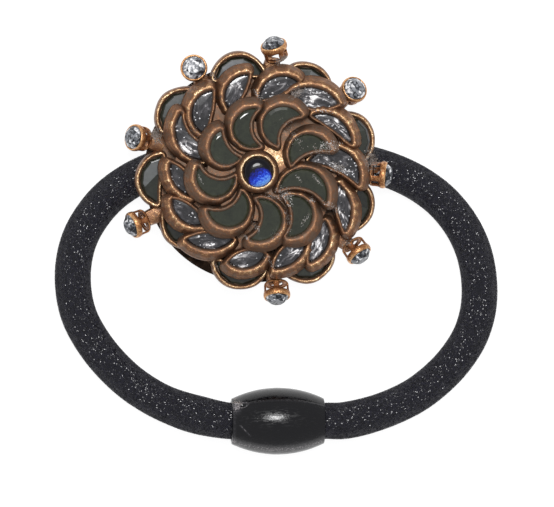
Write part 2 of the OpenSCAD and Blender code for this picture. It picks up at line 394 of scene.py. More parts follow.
# Injection-moulded acrylic, deep black with a wet gloss; fine scratches break its shine and
# the scuffed end is grey
acrylic, tree, shader = new_finish("black_moulded_acrylic", {"IOR": 1.49})
place = add(tree, "TexCoord").outputs["Object"]
rubbed = add(tree, "TexNoise", {"Vector": place, "Scale": 4.2 / mm, "Detail": 4})
speckle = add(tree, "MapRange", {"Value": rubbed, 1: 0.47, 2: 0.6})
scuff = add(tree, "Attribute", attribute_name="scuff").outputs["Fac"]
streaks = add(
    tree, "TexNoise",
    {"Vector": add(tree, "Mapping", {"Vector": place, "Scale": (0.9 / mm, 3.5 / mm, 3.5 / mm)}),
     "Scale": 1.0, "Detail": 4},
)
worn = add(tree, "Math", {0: speckle, 1: 0.7, 2: 0.3}, operation="MULTIPLY_ADD")
worn = add(tree, "Math", {0: worn, 1: scuff}, operation="MULTIPLY")
tint = add(
    tree, "ValToRGB", {"Fac": worn},
    stops=((0.0, "#050509"), (0.4, "#3a393c"), (1.0, "#a8a2a3")),
)
dull = add(tree, "MapRange", {"Value": streaks, 1: 0.44, 2: 0.62, 3: 0.04, 4: 0.34})
dull = add(tree, "Math", {0: worn, 1: 0.3, 2: dull}, operation="MULTIPLY_ADD")
relief = add(tree, "Bump", {"Height": rubbed, "Distance": 0.035 * mm, "Strength": 0.6})
feed(shader, {"Base Color": tint, "Roughness": dull, "Normal": relief})

arc_r = (bead_half**2 + (bead_r - mouth_r) ** 2) / (2 * (bead_r - mouth_r))
xs = np.linspace(-(bead_half - lip_w), bead_half - lip_w, bead_rings)
outside = [(x, bead_r - arc_r + sqrt(arc_r**2 - x * x)) for x in xs]
mouth = [
    (bead_half - 0.08 * mm, mouth_r + 0.05 * mm), (bead_half, mouth_r - 0.12 * mm),
    (bead_half, bore_r + 0.2 * mm), (bead_half - 0.15 * mm, bore_r + 0.04 * mm),
]
section = [*outside, *mouth, (0, bore_r), *[(-x, r) for x, r in reversed(mouth)]]
x, r = np.array(section).T
x, a = np.meshgrid(x, whole_turn(bead_cuts), indexing="ij")
r = r[:, None] + 0 * a
parting, ridge_width, ridge_height = radians(46), radians(1.6), 0.05 * mm
ridge = bell((a - parting) / ridge_width) + 0.6 * bell((a - parting - pi) / ridge_width)
on_side = (r > mouth_r - 0.1 * mm) * 1.0
r += on_side * ridge * ridge_height
# A dent near the left mouth with a pale broken edge, torn plastic beside it, a scratch, and
# a pale speckled painted reflection along the lower side: where each is along the bead and round it
dent_x, dent_turn, dent_depth = -5.85 * mm, radians(47), 0.5 * mm
torn_x, torn_turn, torn_height = -6.9 * mm, radians(45), 0.07 * mm
scratch_x, scratch_turn, scratch_middle = -6.35 * mm, radians(94), radians(104)
reflection_band_turn, worn_lip_x = radians(143), -7.3 * mm
dent_reach = np.hypot((x - dent_x) / (0.55 * mm), (a - dent_turn) / 0.085)
dent, broken_edge = bell(dent_reach), bell((dent_reach - 1.25) / 0.3)
torn = np.exp(-(((x - torn_x) / (0.7 * mm)) ** 2) - (((a - torn_turn) / 0.26) ** 2))
flecks = np.random.default_rng(5).uniform(-1, 1, x.shape)
r += on_side * (-dent_depth * dent + torn_height * torn * flecks)
scratch = bell((x - scratch_x - (a - scratch_turn) * 4.4 * mm) / (0.16 * mm))
scratch *= (np.abs(a - scratch_middle) < 0.2) * 0.7
# wear is a painted reflection band along the lower side, and scuffs at the left lip
wear = 0.75 * bell((a - reflection_band_turn) / radians(10))
wear += 0.3 * bell((x - worn_lip_x) / (0.2 * mm)) * (np.sin(a) > 0)
scuffed = 1.5 * torn + 1.3 * broken_edge - 1.6 * dent + scratch + wear + 0.35 * ridge
scuffed = np.clip(scuffed, 0, 1.5) * on_side
shape = bmesh.new()
grid = bead_at + np.stack([x, r * np.cos(a), r * np.sin(a)], -1)
skin(shape, grid, turns=(True, True), values={"scuff": scuffed})
placed(mesh_of("barrel_bead_shell", shape, acrylic), ["barrel_bead"])

# Back plate
# A round brass plate under the tiers with a strip folded into a bracket and soldered beneath
# it, which the elastic runs through. Both are darkened like old bronze.
rosette = np.array((-3.9, 12.4))

# Brass gone brown and cloudy, with a dull metal shine where it is less dark
bronze, tree, shader = new_finish("darkened_bronze_plate", {"Metallic": 1.0})
place = add(tree, "TexCoord").outputs["Object"]
cloud = add(tree, "TexNoise", {"Vector": place, "Scale": 0.8 / mm, "Detail": 7, "Roughness": 0.65})
grain = add(tree, "TexNoise", {"Vector": place, "Scale": 3.5 / mm, "Detail": 3})
tint = add(
    tree, "ValToRGB", {"Fac": cloud},
    stops=((0.3, "#17120f"), (0.5, "#2a201a"), (0.75, "#4b392c")),
)
dull = add(tree, "MapRange", {"Value": cloud, 1: 0.3, 2: 0.8, 3: 0.62, 4: 0.38})
relief = add(tree, "Bump", {"Height": grain, "Distance": 0.02 * mm, "Strength": 0.6})
feed(shader, {"Base Color": tint, "Roughness": dull, "Normal": relief})

shape = bmesh.new()
shape.from_mesh(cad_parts["back_plate"].data)
bmesh.ops.remove_doubles(shape, verts=shape.verts, dist=1e-7)
bmesh.ops.dissolve_limit(shape, angle_limit=0.01, verts=shape.verts, edges=shape.edges)
# The plate's round edge, which lies further out than the bracket, is a little off the axis
edge_from, plate_r, plate_at = 18, 17.9, Vector(rosette) + Vector((-0.15, -0.45))
for corner in shape.verts:
    away = corner.co.xy / mm - Vector(rosette)
    if away.length > edge_from:
        corner.co.xy = (plate_at + away.normalized() * plate_r) * mm
edges = [e for e in shape.edges if e.is_manifold and e.calc_face_angle() > 0.6]
bmesh.ops.bevel(shape, geom=edges, offset=0.14 * mm, segments=2, profile=0.5, affect="EDGES")
placed(mesh_of("plate_and_bracket", shape, bronze), ["back_plate"])

# Outer setting
# Nine scalloped cups of thin copper-plated metal, soldered round a sheet. Each has a rim
# rubbed over the edge of its stone; the rims are bright and the hollows are dark with age.
sheet_t, round_cuts = 0.6, 96

# Copper plating with an antique finish: patina and painted shade dark in the hollows and at the
# foot of each rim, warm brown on the slopes, and rubbed back to pink gold with a painted highlight
# on the crests
copper, tree, shader = new_finish(
    "antiqued_copper_plating", {"Metallic": 0.86, "Coat Weight": 0.12, "Coat Roughness": 0.3}
)
place = add(tree, "TexCoord").outputs["Object"]
crest = add(tree, "Attribute", attribute_name="crest").outputs["Fac"]
cloud = add(tree, "TexNoise", {"Vector": place, "Scale": 1.5 / mm, "Detail": 6, "Roughness": 0.68})
grain = add(tree, "TexNoise", {"Vector": place, "Scale": 6 / mm, "Detail": 3})
mix = add(tree, "Math", {0: grain, 1: 0.45, 2: cloud}, operation="MULTIPLY_ADD")
patch = add(tree, "Math", {0: mix, 1: 0.725}, operation="SUBTRACT")
patina_shade_and_highlight = add(tree, "Math", {0: patch, 1: 1.9, 2: crest}, operation="MULTIPLY_ADD")
tint = add(
    tree, "ValToRGB", {"Fac": patina_shade_and_highlight},
    stops=(
        (0.02, "#7c6655"), (0.25, "#815e47"), (0.5, "#8e6448"), (0.75, "#b28a62"), (1.0, "#dfc199")
    ),
)
dull = add(tree, "MapRange", {"Value": patina_shade_and_highlight, 1: 0.1, 2: 0.95, 3: 0.56, 4: 0.3})
height = add(tree, "Math", {0: cloud, 1: 2.6, 2: grain}, operation="MULTIPLY_ADD")
relief = add(tree, "Bump", {"Height": height, "Distance": 0.03 * mm, "Strength": 0.8})
# Where the plating was renewed, on the small cups, it is redder
fresh = add(tree, "Attribute", attribute_name="fresh").outputs["Fac"]
tint = add(
    tree, "Mix", {"Factor": fresh, "A": tint, "B": (1.12, 0.88, 0.68, 1)},
    data_type="RGBA", blend_type="MULTIPLY",
)
feed(shader, {"Base Color": tint, "Roughness": dull, "Normal": relief})


def crescent_in(node):
    """Reads a stone's plan from the frame, in mm: its two tips, two arcs, and heights."""
    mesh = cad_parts[node].data
    mesh.calc_loop_triangles()
    low, high = (corner.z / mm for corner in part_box(node))
    edges = set()
    for triangle in mesh.loop_triangles:
        points = [mesh.vertices[i].co / mm for i in triangle.vertices]
        if min(p.z for p in points) > high - 1e-3:
            keys = [(round(p.x, 4), round(p.y, 4)) for p in points]
            edges.update(zip(keys, keys[1:] + keys[:1]))
    after = {a: b for a, b in edges if (b, a) not in edges}
    loop = [min(after)]
    while len(loop) < len(after):
        loop.append(after[loop[-1]])
    loop = np.array(loop)
    step = np.roll(loop, -1, 0) - loop
    back = np.roll(step, 1, 0)
    bend = np.arctan2(back[:, 0] * step[:, 1] - back[:, 1] * step[:, 0], (back * step).sum(1))
    first, second = sorted(np.argsort(bend)[-2:])
    sides = []
    for a, b in ((first, second), (second, first + len(loop))):
        arc = loop[np.arange(a, b + 1) % len(loop)]
        chord = arc[-1] - arc[0]
        out = unit(np.array((chord[1], -chord[0])))
        away = (arc - arc[0]) @ out
        sides.append((away[np.argmax(np.abs(away))], out))
    middle = (loop[first] + loop[second]) / 2
    sides.sort(key=lambda side: side[0])
    if sides[0][0] > 0 and sides[0][1] @ (middle - rosette) > 0:
        sides.reverse()
    (other, _), (bulge, y_way) = sides
    return {
        "middle": middle, "x": np.array((y_way[1], -y_way[0])), "y": y_way,
        "half": np.linalg.norm(loop[first] - loop[second]) / 2,
        "bulge": bulge, "hollow": -other, "low": low, "high": high,
    }


def arcs_of(stone, grow_round, grow_other, cuts_round, cuts_other):
    """Points and outward ways along a crescent's round side and back along its other side,
    in the stone's own directions, with each side moved outward by its own amount."""
    half, bulge, hollow = stone["half"], stone["bulge"], stone["hollow"]
    r1, r2 = ((half**2 + h * h) / (2 * abs(h)) for h in (bulge, hollow))
    y1, y2 = bulge - r1, hollow - copysign(r2, hollow)
    r1, r2 = r1 + grow_round, r2 - copysign(grow_other, hollow)
    y_tip = (y1 * y1 - y2 * y2 - r1 * r1 + r2 * r2) / (2 * (y1 - y2))
    x_tip = sqrt(max(r1 * r1 - (y_tip - y1) ** 2, 1e-6))
    start = atan2(y_tip - y1, x_tip)
    t = np.linspace(start, pi - start, cuts_round + 1)
    ways = np.stack([np.cos(t), np.sin(t)], 1)
    round_side = np.array((0, y1)) + r1 * ways, ways
    start = atan2(y_tip - y2, -x_tip)
    end = atan2(y_tip - y2, x_tip)
    t = np.linspace(start, end, cuts_other + 1)
    ways = np.stack([np.cos(t), np.sin(t)], 1)
    return round_side, (np.array((0, y2)) + r2 * ways, ways * -copysign(1, hollow))


def rim_path(stone, inset=0.15, cuts=(44, 28), fan=7):
    """A closed path inside a crescent's edge, for rims swept outward from it: points and
    ways in the row frame, the share of the round side, and how near its middle it is."""
    (p1, n1), (p2, n2) = arcs_of(stone, -inset, -inset, *cuts)
    turns = [(atan2(n[0][-1][1], n[0][-1][0]), atan2(n[1][0][1], n[1][0][0]))
             for n in ((n1, n2), (n2, n1))]
    points, ways, share, mid = [], [], [], []
    for (p, n, here), (a, b) in zip(((p1, n1, 1.0), (p2, n2, 0.0)), turns):
        b += 2 * pi * (b < a)
        t = np.linspace(0, 1, fan + 2)[1:-1]
        points += [*p, *[p[-1]] * fan]
        ways += [*n, *np.stack([np.cos(a + (b - a) * t), np.sin(a + (b - a) * t)], 1)]
        ease = t * t * (3 - 2 * t)
        share += [*[here] * len(p), *(here + (1 - 2 * here) * ease)]
        mid += [*np.sin(np.linspace(0, pi, len(p))) * here, *[0] * fan]
    turn = np.stack([stone["x"], stone["y"]])
    return (
        stone["middle"] + np.array(points) @ turn, np.array(ways) @ turn,
        np.array(share), np.array(mid),
    )


def waver(random, count, waves=(2, 3, 5, 8)):
    """A closed run of hand-made unevenness, from -1 to 1."""
    t = whole_turn(count)
    run = sum(random.normal() * np.cos(w * t + random.uniform(0, 6.3)) / w**0.6 for w in waves)
    return run / np.abs(run).max()


# Cross-sections of a rim from the stone's edge outward: how far out as a share of its width,
# how high beside the stone's top in mm, and how rubbed it is, which paints patina and shade beside
# the stone and at the foot and a highlight on the crest. The wide one is a rounded slope with a
# step near its foot, the thin one a low ridge painted dark, and the edge one a rolled edge painted
# bright with a steep outside.
wide_rim = (
    (0.0, -0.35, 0.0), (0.0, 0.0, 0.0), (0.05, 0.16, 0.06), (0.12, 0.29, 0.22), (0.2, 0.37, 0.48),
    (0.29, 0.41, 0.74), (0.39, 0.385, 0.72), (0.51, 0.28, 0.54), (0.63, 0.05, 0.42),
    (0.75, -0.34, 0.32), (0.82, -0.66, 0.14), (0.88, -0.8, 0.34), (0.94, -1.0, 0.36),
    (0.985, -1.4, 0.2), (1.0, -1.75, 0.05),
)
thin_rim = (
    (0.0, -0.35, 0.0), (0.0, 0.0, 0.0), (0.09, 0.12, 0.06), (0.2, 0.23, 0.24), (0.34, 0.31, 0.44),
    (0.47, 0.32, 0.48), (0.59, 0.26, 0.4), (0.69, 0.14, 0.32), (0.78, -0.03, 0.27),
    (0.84, -0.22, 0.23), (0.89, -0.42, 0.2), (0.93, -0.65, 0.18), (0.96, -0.9, 0.15),
    (0.985, -1.25, 0.1), (1.0, -1.75, 0.03),
)
edge_rim = (
    (0.0, -0.35, 0.0), (0.0, -0.08, 0.0), (0.12, 0.06, 0.05), (0.25, 0.2, 0.4), (0.38, 0.29, 0.9),
    (0.5, 0.31, 1.0), (0.62, 0.27, 0.9), (0.73, 0.15, 0.55), (0.82, -0.02, 0.36),
    (0.88, -0.25, 0.28), (0.92, -0.5, 0.25), (0.95, -0.75, 0.22), (0.975, -1.0, 0.18),
    (0.99, -1.3, 0.12), (1.0, -1.75, 0.05),
)


def add_rim(shape, stone, random, cast, sections, walls, drift, lip, sheet_z, wear, lumpy):
    """Sweeps one crescent's rim and closes it underneath as a cup."""
    points, ways, share, mid = rim_path(stone)
    away = ways @ unit(stone["middle"] - rosette)
    lap = 0.1 + lip * np.clip(away, 0, 1) * mid
    wall = walls[1] + (walls[0] - walls[1]) * share + drift * away * share
    wall = wall + 0.07 * waver(random, len(wall), (2, 3, 5)) * (0.3 + share)
    rise = 0.06 * waver(random, len(wall))
    slope = waver(random, len(wall), (4, 7, 11, 16))
    # kept fades the painted crest highlight in and out along the rim
    kept = 0.84 + 0.2 * waver(random, len(wall), (1, 2, 3, 5))
    lumps = lumpy * waver(cast, len(wall), (9, 13, 17, 22)) * np.clip(0.4 + share, 0, 1)
    grid, rubbed = [], []
    for (u1, z1, c1), (u2, z2, c2) in zip(*sections):
        u, z, c = (b + (a - b) * share for a, b in ((u1, u2), (z1, z2), (c1, c2)))
        d = 0.15 - lap + u * (wall + lap) + 0.12 * slope * u * (1 - u)
        level = stone["high"] + z + rise * np.clip((z + 1) / 1.4, 0, 1) + 0.05 * slope * u * share
        # The outside slope is lumpy, as it came from the casting
        outer = np.clip((u - 0.3) / 0.25, 0, 1) * np.clip((1 - u) / 0.08, 0, 1) * lumps
        d, level = d + 0.08 * outer, level + 0.07 * outer
        level = np.maximum(level, sheet_z + 0.08)
        grid.append(np.column_stack([points + ways * d[:, None], level]))
        # The rub level paints patina and shade low on the rim and a highlight on its crest, raised
        # to wear to narrow that highlight, with a little more highlight on the lumps
        rubbed.append(c**wear * kept + (0.07 * slope + 0.16 * outer) * (c > 0.1))
    foot = points + ways * (0.13 + wall)[:, None]
    grid.append(np.column_stack([foot, np.full(len(wall), sheet_z + 0.04)]))
    rubbed.append(np.full(len(wall), 0.2))
    skin(shape, np.array(grid) * mm, values={"crest": rubbed}, caps=True)


def turned_grid(profile, count, middle=(0, 0)):
    """A profile of radii and heights turned round an upright axis, in mm."""
    turn = whole_turn(count)
    return np.array([
        np.column_stack([
            middle[0] + r * np.cos(turn), middle[1] + r * np.sin(turn), z + np.zeros(count)
        ])
        for r, z in profile
    ])


def add_sheet(shape, random, radius, sheet_z, bare, step=0.5):
    """Adds a tier's round sheet, slightly uneven on top as after soldering. It is dark but for
    a bare patch, given by its place beside the rosette's axis and its size."""
    radii = [*np.arange(step, radius, step), radius]
    lumps = random.normal(size=(len(radii), round_cuts)) * 0.03
    top = [(r, sheet_z + sheet_t + lump * (r < radius)) for r, lump in zip(radii, lumps)]
    grid = turned_grid([*top, (radius, sheet_z)], round_cuts, rosette)
    away = np.linalg.norm(grid[:, :, :2] - rosette - bare[:2], axis=2) / bare[2]
    skin(shape, grid * mm, values={"crest": 0.1 + 0.85 * np.exp(-(away**4))}, caps=True)


def tier(
    stem, count, sections, walls, drift, lip, radius, seed, bare=(0, 0, 0.1), wear=1.0, lumpy=1.0
):
    """One tier of cups on its sheet, round the stones that the frame gives it. walls are the
    rims' widths on the round side and the other, drift what the far side has more, and lip
    how far a rim laps over its stone, in mm."""
    random, cast = np.random.default_rng(seed), np.random.default_rng(seed + 100)
    stones = [crescent_in(f"{stem}_{i + 1}") for i in range(count)]
    sheet_z = stones[0]["low"] - sheet_t - 0.05
    shape = bmesh.new()
    add_sheet(shape, random, radius, sheet_z, bare)
    for stone in stones:
        add_rim(shape, stone, random, cast, sections, walls, drift, lip, sheet_z, wear, lumpy)
    return shape, stones


shape, outer_stones = tier(
    "outer_stone", 9, (edge_rim, edge_rim), (0.82, 0.75), 0, 0.06, 16.8, seed=11, lumpy=0.3
)

# Eight tapered stubs carry the rim cups out from the sheet. Where each cup sits and faces is
# read from its crystal in the frame.
cup_count, stub_t, crystal_seat = 8, 0.6, 0.35
rims = []
for i in range(cup_count):
    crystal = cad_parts[f"rim_crystal_{i + 1}"].data
    points = np.array(sorted({tuple(np.round(v.co / mm, 4)) for v in crystal.vertices}))
    axis = np.linalg.svd(points - points.mean(0))[2][2]
    depth = points @ axis
    spread = [np.ptp(points[np.abs(depth - d) < 0.01], 0).max() for d in (depth.min(), depth.max())]
    axis = axis * (1 if spread[0] > spread[1] else -1)
    depth = points @ axis
    back = points[depth < depth.min() + 0.01].mean(0)
    rims.append((back - crystal_seat * axis, axis))
for centre, axis in rims:
    way_out = unit(centre[:2] - rosette)
    sideways = np.array((-way_out[1], way_out[0]))
    reach = np.linalg.norm(centre[:2] - rosette)
    low = outer_stones[0]["low"] - sheet_t
    top = low + stub_t
    bars = []
    for r, width, lift in (
        (15.4, 3.4, 0), (16.6, 3.0, 0.2), (reach - 2.0, 2.5, 0.5), (reach - 1.3, 2.0, 0.4)
    ):
        at, half = rosette + way_out * r, sideways * width / 2
        bars.append([
            (*(at - half), low), (*(at + half), low), (*(at + half * 1.02), low + stub_t / 2),
            (*(at + half * 0.8), top + lift), (*at, top + lift + 0.06),
            (*(at - half * 0.8), top + lift), (*(at - half * 1.02), low + stub_t / 2),
        ])
    bars = np.array(bars)
    skin(shape, bars * mm, values={"crest": np.full(bars.shape[:2], 0.42)}, caps=True)
placed(mesh_of("outer_rims", shape, copper, 55), ["outer_setting"])

# Rim cups
# Eight small cast gallery cups, soldered to the stubs. A thick rounded ring holds the crystal
# and four struts join it to a thinner ring behind, with open windows between them.
cage_cuts, cage_wall, window_low, window_high = 24, 0.34, -1.3, -0.1
# Each row: radius, height and rub level, which paints a highlight on the ring's round top and shade
# lower down
cage = (
    (0.95, -1.6, 0.3), (1.4, -1.76, 0.42), (1.82, -1.68, 0.52), (2.04, -1.4, 0.6),
    (2.04, -1.1, 0.45), (2.04, -0.3, 0.42), (2.14, -0.04, 0.48), (2.24, 0.3, 0.58),
    (2.24, 0.68, 0.66), (2.15, 0.95, 0.85), (2.0, 1.05, 0.9), (1.88, 0.98, 0.5), (1.82, 0.8, 0.2),
)
shape = bmesh.new()
grid = turned_grid([(r, z) for r, z, _ in cage], cage_cuts)
skin(
    shape, grid * mm,
    values={
        "crest": [[c + 0.08] * cage_cuts for _, _, c in cage],
        "fresh": np.ones((len(cage), cage_cuts)),
    },
)
# Of each six faces round the cage, two are a strut and four are a window
windows = []
for face in shape.faces:
    x, y, z = face.calc_center_median() / mm
    if window_low < z < window_high and round(atan2(y, x) / 2 / pi * cage_cuts - 0.5) % 6 > 1:
        windows.append(face)
bmesh.ops.delete(shape, geom=windows, context="FACES")
bmesh.ops.recalc_face_normals(shape, faces=shape.faces)
cup_mesh = bpy.data.meshes.new("rim_cup_cast")
shape.to_mesh(cup_mesh)
shape.free()
if cup_mesh.polygons[0].normal.dot(cup_mesh.polygons[0].center) < 0:
    cup_mesh.flip_normals()
cup = shown("rim_cup_cast", cup_mesh)
wall = cup.modifiers.new("wall", "SOLIDIFY")
wall.thickness, wall.offset = cage_wall * mm, -1
soft = cup.modifiers.new("soft", "SUBSURF")
soft.levels = soft.render_levels = 2
cup_mesh = applied(cup)
cup_mesh.shade_smooth()

around, given = new_tree("round_the_rim", {"Piece": "Object", "Finish": "Material"})
piece = add(around, "GeometryNodeObjectInfo", {"Object": given["Piece"]})
facing = add(
    around, "AxesToRotation",
    {
        label: add(around, "InputNamedAttribute", {"Name": name}, data_type="FLOAT_VECTOR")
        for label, name in (("Primary Axis", "facing"), ("Secondary Axis", "upward"))
    },
    primary_axis="Z", secondary_axis="X",
)
copies = add(
    around, "InstanceOnPoints",
    {"Points": given["Geometry"], "Instance": piece.outputs["Geometry"], "Rotation": facing},
)
end_tree(around, copies, given["Finish"])

# A cut stone that faces up gets more painted light, and on each cup a strut is turned up toward the
# rosette's face
places = marked_points(
    "rim_places", [tuple(centre * mm) for centre, _ in rims],
    {
        "facing": [axis for _, axis in rims], "lit": [axis[2] ** 3 for _, axis in rims],
        "upward": [(0.18, -0.12, 1.0) for _ in rims],
    },
)


def set_round(name, mesh, finish, nodes=()):
    """Sets a copy of a small piece at each of the eight places."""
    piece = shown(name + "_one", mesh)
    placed(grown(name, places, around, {"Piece": piece, "Finish": finish}), nodes)
    bpy.data.objects.remove(piece)


set_round("rim_cups", cup_mesh, copper)

# Rim crystals
# Round brilliants of clear lead glass, silvered behind, pressed into the cups. The cut crown
# stands out of the ring and its pavilion shows through the windows.
crystal_r, table_r, girdle_z, table_z, table_painted_reflection = 1.86, 1.08, 1.02, 1.86, 0.27
silvered, tree, shader = new_finish(
    "silvered_cut_glass",
    {"Roughness": 0.35, "Specular IOR Level": 0.3, "Coat Weight": 0.25, "Coat Roughness": 0.04,
     "Coat IOR": 1.56},
)
# Painted reflections of the many small back facets, light and dark, change from one to the next
place = add(tree, "TexCoord").outputs["Object"]
cells = add(tree, "TexVoronoi", {"Vector": place, "Scale": 2.8 / mm})
behind = add(tree, "SeparateColor", {"Color": cells.outputs["Color"]})
relief = add(
    tree, "Bump", {"Height": cells.outputs["Distance"], "Distance": 0.07 * mm, "Strength": 0.6}
)
feed(shader, {"Normal": relief, "Coat Normal": relief})
facet = add(tree, "Attribute", attribute_name="facet").outputs["Fac"]
lit = add(tree, "Attribute", attribute_name="lit").outputs["Fac"]
level = add(tree, "Math", {0: behind, 1: 0.62, 2: facet}, operation="MULTIPLY_ADD")
level = add(tree, "Math", {0: lit, 1: 0.15, 2: level}, operation="MULTIPLY_ADD")
tint = add(
    tree, "ValToRGB", {"Fac": level},
    stops=(
        (0.3, "#1a1b1e"), (0.5, "#43464b"), (0.62, "#7d8085"), (0.84, "#9b9da2"), (0.92, "#fafafa")
    ),
)
feed(shader, {"Base Color": tint})

shape = bmesh.new()
layer = shape.faces.layers.float.new("facet")


def cut_ring(radius, z, count, offset=0.0):
    """Corners of one ring of facets."""
    turn = (np.arange(count) + offset) / count * 2 * pi
    return [shape.verts.new((radius * cos(t) * mm, radius * sin(t) * mm, z * mm)) for t in turn]


table = cut_ring(table_r, table_z, 8)
star = cut_ring(1.36, 1.62, 8, 0.5)
upper = cut_ring(1.8, girdle_z + 0.12, 16)
lower = cut_ring(crystal_r, girdle_z - 0.08, 16)
deep = cut_ring(0.95, 0.0, 8, 0.5)
culet = shape.verts.new((0, 0, -0.72 * mm))
shape.faces.new(table)
for i in range(8):
    k, a, b, c = (i + 1) % 8, 2 * i, 2 * i + 1, (2 * i + 2) % 16
    for facet in (
        (table[i], star[i], table[k]), (table[k], star[i], upper[c], star[k]),
        (star[i], upper[a], upper[b]), (star[i], upper[b], upper[c]),
        (deep[i], deep[k], lower[c]), (deep[i], lower[a], lower[b]),
        (deep[i], lower[b], lower[c]), (deep[i], culet, deep[k]),
    ):
        shape.faces.new(facet)
for i in range(16):
    shape.faces.new((lower[i], lower[(i + 1) % 16], upper[(i + 1) % 16], upper[i]))
random = np.random.default_rng(21)
# Each facet gets a painted reflection, lighter or darker at random, and the table its own
for face in shape.faces:
    face[layer] = float(random.choice((0.0, 0.2, 0.35, 0.5), p=(0.2, 0.25, 0.3, 0.25)))
shape.faces.ensure_lookup_table()
shape.faces[0][layer] = table_painted_reflection
set_round(
    "rim_brilliants", mesh_of("brilliant", shape, silvered, 1), silvered,
    [f"rim_crystal_{i + 1}" for i in range(cup_count)],
)

# Outer stones
# Nine fans of near-black bottle-green glass, cut with a few long flat facets that slope to
# the rim, and set before the tier above was laid over their inner halves. Some facets carry a
# painted reflection that makes them hazy grey, and the others stay dark.
bottle, tree, shader = new_finish(
    "bottle_green_cut_glass",
    {"Roughness": 0.07, "IOR": 1.54, "Coat Weight": 0.4, "Coat Roughness": 0.03},
)
place = add(tree, "TexCoord").outputs["Object"]
# shade is the painted reflection on each facet
depth = add(tree, "Attribute", attribute_name="shade").outputs["Fac"]
haze = add(tree, "TexNoise", {"Vector": place, "Scale": 1.6 / mm, "Detail": 5})
level = add(tree, "Math", {0: haze, 1: 0.25, 2: depth}, operation="MULTIPLY_ADD")
tint = add(
    tree, "ValToRGB", {"Fac": level},
    stops=((0.1, "#15170f"), (0.3, "#363a30"), (0.62, "#6d7070"), (1.0, "#a7a8ac")),
)
feed(shader, {"Base Color": tint})


def cut_stone(
    name, stone, steps, cuts, finish, crease=3, rows=1, dome=0.0, lean=(0, 0), facets=None,
    corners=(),
):
    """A crescent of glass: a flat or domed table within sloping facets, over straight sides.
    steps are (in from the round edge, in from the other edge, below the top), edge first.
    corners are small facets that cut the table: a point on its line and its fall in x and y."""
    sides = [arcs_of(stone, -a, -b, cuts, cuts) for a, b, _ in steps]
    drops = [-drop for _, _, drop in steps]
    near, far = [side[0][0] for side in sides], [side[1][0][::-1] for side in sides]
    bottom = stone["low"] - stone["high"]
    share = np.linspace(0, 1, rows + 1)[1:-1]
    hump = np.sin(np.linspace(0, pi, cuts + 1))
    between = [near[-1] + (far[-1] - near[-1]) * s for s in share]
    flat = [near[0], *near, *between, *far[::-1], far[0]]
    level = [bottom, *drops, *(dome * hump * 4 * s * (1 - s) for s in share), *drops[::-1], bottom]
    turn = np.stack([stone["x"], stone["y"]])
    slant = np.array(lean) @ turn.T
    grid = np.array([
        np.column_stack([
            stone["middle"] + p @ turn, stone["high"] + z + (p @ slant) * (0 < i < len(flat) - 1)
        ])
        for i, (p, z) in enumerate(zip(flat, level))
    ])
    shape = bmesh.new()
    span = np.array(flat)
    skin(
        shape, grid * mm, turns=(True, False),
        values={"lie_u": span[:, :, 0] + stone["middle"][0] * 7, "lie_v": span[:, :, 1]},
    )
    layer = shape.faces.layers.float.new("shade")
    for i, face in enumerate(shape.faces):
        face[layer] = facets(i // cuts, i % cuts) if facets else 0.0
    for x, y, fall_x, fall_y in corners:
        cut = bmesh.ops.bisect_plane(
            shape, geom=[*shape.verts, *shape.edges, *shape.faces], dist=1e-7,
            plane_co=Vector((x, y, stone["high"])) * mm,
            plane_no=(sin(radians(fall_x)), sin(radians(fall_y)), 1),
            clear_outer=True,
        )["geom_cut"]
        bmesh.ops.contextual_create(
            shape, geom=[part for part in cut if isinstance(part, bmesh.types.BMEdge)]
        )
    return placed(mesh_of(name + "_cut", shape, finish, crease), [name])


random = np.random.default_rng(31)
# How much painted reflection lies on each stone's five top facets, listed from its clockwise tip
# round
painted_facet_reflection = (
    (0.1, 0.1, 0.1, 0.2, 0.2), (0.3, 0.5, 0.5, 0.3, 0.1), (0.1, 0.5, 0.6, 0.62, 0.5),
    (0.4, 0.42, 0.42, 0.35, 0.1), (0.44, 0.46, 0.44, 0.4, 0.3), (0.05, 0, 0, 0, 0.1),
    (0, 0, 0.05, 0, 0), (0, 0.1, 0.3, 0, 0), (0.1, 0.5, 0.1, 0, 0),
)
# A facet that falls away from the light crosses the left stone aslant
slants = {4: [(-20.77, 10.4, 2.4, -1.5)]}
for i, (stone, flat) in enumerate(zip(outer_stones, painted_facet_reflection)):
    # The margins get a little painted reflection at random, and the first stone a pale painted
    # strip
    margin = random.uniform(0.0, 0.14, 5) + (0.45 * np.array((0, 1, 1, 1, 0)) if i == 0 else 0)
    cut_stone(
        f"outer_stone_{i + 1}", stone,
        ((0, 0, 0.4), (0.4, 0.25, 0.03), (0.55, 0.33, 0)), 5, bottle,
        lean=random.uniform(-0.015, 0.015, 2),
        facets=lambda row, k: flat[k] if row == 3 else margin[k] if row == 1 else 0.0,
        corners=slants.get(i, ()),
    )

# Middle setting
# Fourteen deeper cups of the same plating, laid like tiles so that each leans on the next.
# Their rims are wide rounded slopes, thickest on the side away from the middle.
shape, middle_stones = tier(
    "middle_stone", 14, (wide_rim, thin_rim), (1.35, 0.72), 0.4, 0.2, 13.2, seed=12
)
placed(mesh_of("middle_rims", shape, copper, 55), ["middle_setting"])

